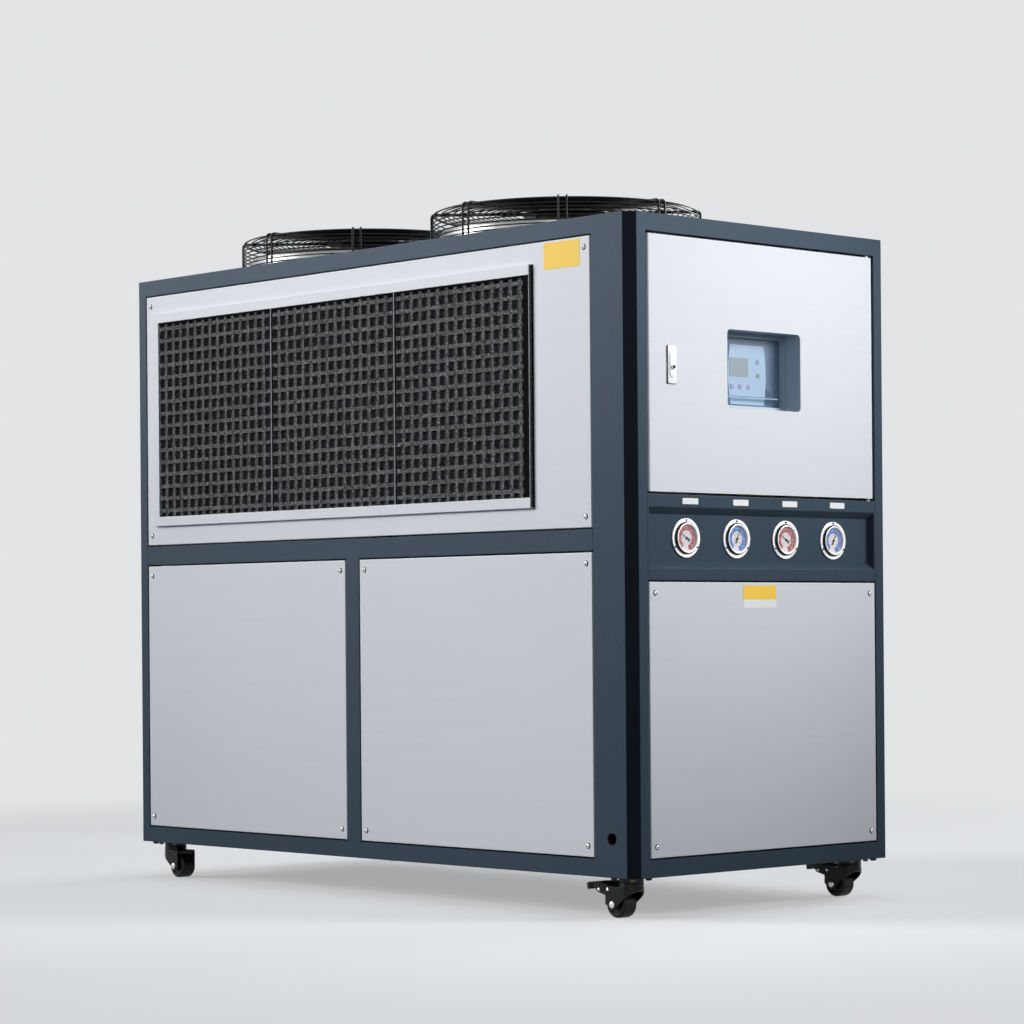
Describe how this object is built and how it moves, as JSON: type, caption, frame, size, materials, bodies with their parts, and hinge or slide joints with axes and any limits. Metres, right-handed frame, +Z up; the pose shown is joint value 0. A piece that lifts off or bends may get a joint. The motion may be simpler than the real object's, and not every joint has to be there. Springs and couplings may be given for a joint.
{
  "type": "air cooled water chiller",
  "caption": "Framed cabinet chiller on casters: guarded roof fans, slide-in filter lattices on both long sides, gauge recess and a hinged control door at one end.",
  "frame": {"origin": "floor level under the middle of the cabinet", "axes": "+X towards the control end, -Y towards the side with the cable inlet, +Z up"},
  "size_m": [1.591, 0.752, 1.414],
  "materials": {
    "frame_paint": "satin dark blue-grey paint",
    "panel_sheet": "satin pale grey sheet",
    "filter_plastic": "matt dark grey lattice",
    "zinc_sheet": "bright zinc-plated sheet",
    "coil_fins": "closely spaced fins",
    "gauge_metal": "bright bezel and flange",
    "socket_brass": "machined",
    "device_plastic": "moulded devices and ducts",
    "guard_wire": "black coated wire",
    "fan_paint": "black coated",
    "latch_plastic": "pale moulded",
    "housing_plastic": "moulded grey-blue",
    "controller_plastic": "pale blue face",
    "clear_cover": "clear",
    "caster_steel": "black pressed steel",
    "wheel_rubber": "black"
  },
  "bodies": {
    "cabinet": {"base_pan": "frame_paint", "corner_post_front_right": "frame_paint", "corner_post_front_left": "frame_paint", "corner_post_rear_right": "frame_paint", "corner_post_rear_left": "frame_paint", "side_frame_front": "frame_paint", "side_frame_rear": "frame_paint", "far_end_rail": "frame_paint", "top_cover": "frame_paint", "gauge_panel": "frame_paint", "filter_panel_front": "panel_sheet", "filter_panel_rear": "panel_sheet", "filter_rails_front": "panel_sheet", "filter_rails_rear": "panel_sheet", "lower_panel_front_right": "panel_sheet", "lower_panel_front_left": "panel_sheet", "lower_panel_rear_right": "panel_sheet", "lower_panel_rear_left": "panel_sheet", "control_end_panel": "panel_sheet", "far_end_upper_panel": "panel_sheet", "far_end_lower_panel": "panel_sheet", "filter_screen_front_1": "filter_plastic", "filter_screen_front_2": "filter_plastic", "filter_screen_front_3": "filter_plastic", "filter_screen_rear_1": "filter_plastic", "filter_screen_rear_2": "filter_plastic", "filter_screen_rear_3": "filter_plastic", "deck": "zinc_sheet", "electrical_box": "zinc_sheet", "fan_collars": "zinc_sheet", "condenser_coils": "coil_fins", "pressure_gauges": "gauge_metal", "water_sockets": "socket_brass", "switchgear": "device_plastic", "fan_guard_1": "guard_wire", "fan_guard_2": "guard_wire", "fan_motors": "fan_paint", "caster_plates": "caster_steel"},
    "door": {"control_door": "panel_sheet", "door_latch": "latch_plastic", "controller_housing": "housing_plastic", "controller_face": "controller_plastic", "window_pane": "clear_cover"},
    "fan_1": {"fan_rotor_1": "fan_paint"},
    "fan_2": {"fan_rotor_2": "fan_paint"},
    "fork_front_right": {"caster_fork_front_right": "caster_steel"},
    "wheel_front_right": {"caster_wheel_front_right": "wheel_rubber"},
    "fork_front_left": {"caster_fork_front_left": "caster_steel"},
    "wheel_front_left": {"caster_wheel_front_left": "wheel_rubber"},
    "fork_rear_right": {"caster_fork_rear_right": "caster_steel"},
    "wheel_rear_right": {"caster_wheel_rear_right": "wheel_rubber"},
    "fork_rear_left": {"caster_fork_rear_left": "caster_steel"},
    "wheel_rear_left": {"caster_wheel_rear_left": "wheel_rubber"}
  },
  "joints": [
    {"name": "door_hinge", "type": "hinge", "parent": "cabinet", "child": "door", "pos_m": [0.7795, 0.312, 1.03], "axis": [0, 0, 1], "range_deg": [0, 110]},
    {"name": "fan_1_spin", "type": "hinge", "parent": "cabinet", "child": "fan_1", "pos_m": [0.2315, 0, 1.33], "axis": [0, 0, 1], "continuous": true},
    {"name": "fan_2_spin", "type": "hinge", "parent": "cabinet", "child": "fan_2", "pos_m": [-0.4085, 0, 1.33], "axis": [0, 0, 1], "continuous": true},
    {"name": "swivel_front_right", "type": "hinge", "parent": "cabinet", "child": "fork_front_right", "pos_m": [0.723, -0.312, 0.08], "axis": [0, 0, 1], "continuous": true},
    {"name": "wheel_front_right_roll", "type": "hinge", "parent": "fork_front_right", "child": "wheel_front_right", "pos_m": [0.697, -0.312, 0.026], "axis": [0, 1, 0], "continuous": true},
    {"name": "swivel_front_left", "type": "hinge", "parent": "cabinet", "child": "fork_front_left", "pos_m": [-0.723, -0.312, 0.08], "axis": [0, 0, 1], "continuous": true},
    {"name": "wheel_front_left_roll", "type": "hinge", "parent": "fork_front_left", "child": "wheel_front_left", "pos_m": [-0.697, -0.312, 0.026], "axis": [0, 1, 0], "continuous": true},
    {"name": "swivel_rear_right", "type": "hinge", "parent": "cabinet", "child": "fork_rear_right", "pos_m": [0.723, 0.312, 0.08], "axis": [0, 0, 1], "continuous": true},
    {"name": "wheel_rear_right_roll", "type": "hinge", "parent": "fork_rear_right", "child": "wheel_rear_right", "pos_m": [0.697, 0.312, 0.026], "axis": [0, 1, 0], "continuous": true},
    {"name": "swivel_rear_left", "type": "hinge", "parent": "cabinet", "child": "fork_rear_left", "pos_m": [-0.723, 0.312, 0.08], "axis": [0, 0, 1], "continuous": true},
    {"name": "wheel_rear_left_roll", "type": "hinge", "parent": "fork_rear_left", "child": "wheel_rear_left", "pos_m": [-0.697, 0.312, 0.026], "axis": [0, 1, 0], "continuous": true}
  ]
}
